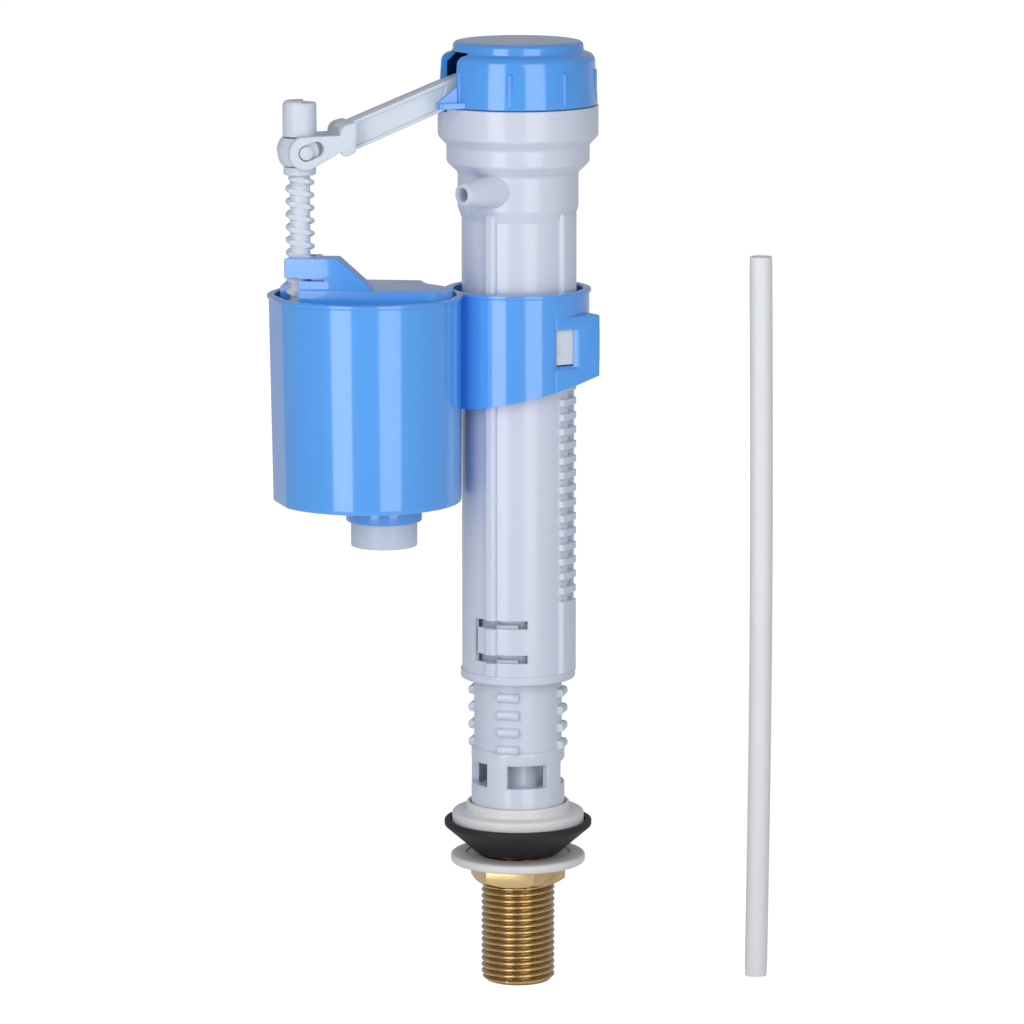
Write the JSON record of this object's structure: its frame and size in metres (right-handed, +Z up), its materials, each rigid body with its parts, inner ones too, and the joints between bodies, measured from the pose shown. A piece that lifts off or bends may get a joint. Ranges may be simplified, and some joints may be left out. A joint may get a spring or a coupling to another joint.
{
  "type": "toilet fill valve",
  "caption": "Bottom-entry toilet fill valve with a threaded brass tail, telescopic riser, lever-worked diaphragm head, and a clip-set float cup holding a float on an adjusting rod.",
  "frame": {"origin": "on the valve's axis at the top face of the clamping washer, where the underside of the cistern floor lies", "axes": "+Z up along the valve's axis; -X towards the float cup; +Y makes the frame right-handed, so the cup's lock clip is on the -Y side"},
  "size_m": [0.139, 0.0546, 0.2678],
  "materials": {
    "blue_plastic": "glossy light blue moulding",
    "white_plastic": "glossy cool white moulding",
    "warm_white_plastic": "satin warm white moulding",
    "natural_plastic": "satin natural white moulding",
    "milky_plastic": "milky, slightly see-through",
    "brass": "machined brass",
    "steel": "drawn pin",
    "black_rubber": "matt black"
  },
  "bodies": {
    "base": {"inlet_tail": "brass", "inlet_filter": "natural_plastic", "cone_seal": "black_rubber", "base_flange": "warm_white_plastic", "shank_tube": "white_plastic", "shank_o_ring": "black_rubber", "refill_tube": "milky_plastic"},
    "washer": {"clamp_washer": "natural_plastic"},
    "nut": {"back_nut": "brass"},
    "riser": {"riser_tube": "white_plastic", "feed_tube": "natural_plastic", "valve_head": "white_plastic", "diaphragm": "black_rubber", "pilot_plate": "natural_plastic", "top_cap": "blue_plastic", "lever_pin": "steel"},
    "core": {"diaphragm_core": "natural_plastic"},
    "lever": {"lever_arm": "natural_plastic", "pilot_seal": "black_rubber"},
    "trunnion": {"trunnion": "natural_plastic"},
    "spindle": {"adjuster_rod": "natural_plastic"},
    "float": {"float": "blue_plastic"},
    "cup": {"float_cup": "blue_plastic", "drain_collar": "blue_plastic"},
    "clip": {"cup_lock_clip": "natural_plastic"},
    "poppet": {"drain_float": "milky_plastic"}
  },
  "joints": [
    {"name": "washer_slide", "type": "slide", "parent": "base", "child": "washer", "axis": [0, 0, -1], "range_m": [0, 0.0241]},
    {"name": "nut_turn", "type": "hinge", "parent": "washer", "child": "nut", "pos_m": [0, 0, -0.0028], "axis": [0, 0, -1], "range_deg": [0, 4763]},
    {"name": "riser_height", "type": "slide", "parent": "base", "child": "riser", "axis": [0, 0, 1], "range_m": [-0.015, 0.05]},
    {"name": "core_lift", "type": "slide", "parent": "riser", "child": "core", "axis": [0, 0, 1], "range_m": [0, 0.0016]},
    {"name": "lever_swing", "type": "hinge", "parent": "riser", "child": "lever", "pos_m": [-0.014, 0, 0.22], "axis": [0, 1, 0], "range_deg": [0, 17]},
    {"name": "trunnion_rise", "type": "slide", "parent": "riser", "child": "trunnion", "axis": [0, 0, 1], "range_m": [0, 0.0154]},
    {"name": "adjuster_turn", "type": "hinge", "parent": "trunnion", "child": "spindle", "pos_m": [-0.0633, 0, 0.2022], "axis": [0, 0, 1], "range_deg": [-810, 810]},
    {"name": "float_rise", "type": "slide", "parent": "trunnion", "child": "float", "axis": [0, 0, 1], "range_m": [-0.0079, 0.0079]},
    {"name": "cup_height", "type": "slide", "parent": "riser", "child": "cup", "axis": [0, 0, 1], "range_m": [-0.02, 0.003]},
    {"name": "clip_press", "type": "slide", "parent": "cup", "child": "clip", "axis": [-0.9703, -0.2419, 0], "range_m": [0, 0.0015]},
    {"name": "poppet_rise", "type": "slide", "parent": "cup", "child": "poppet", "axis": [0, 0, 1], "range_m": [0, 0.0034]}
  ],
  "couplings": [
    {"joint": "washer_slide", "follows": "nut_turn", "m_per_rad": 0.00028871},
    {"joint": "trunnion_rise", "follows": "lever_swing", "m_per_rad": 0.0517},
    {"joint": "adjuster_turn", "follows": "float_rise", "rad_per_m": -1769.9}
  ]
}
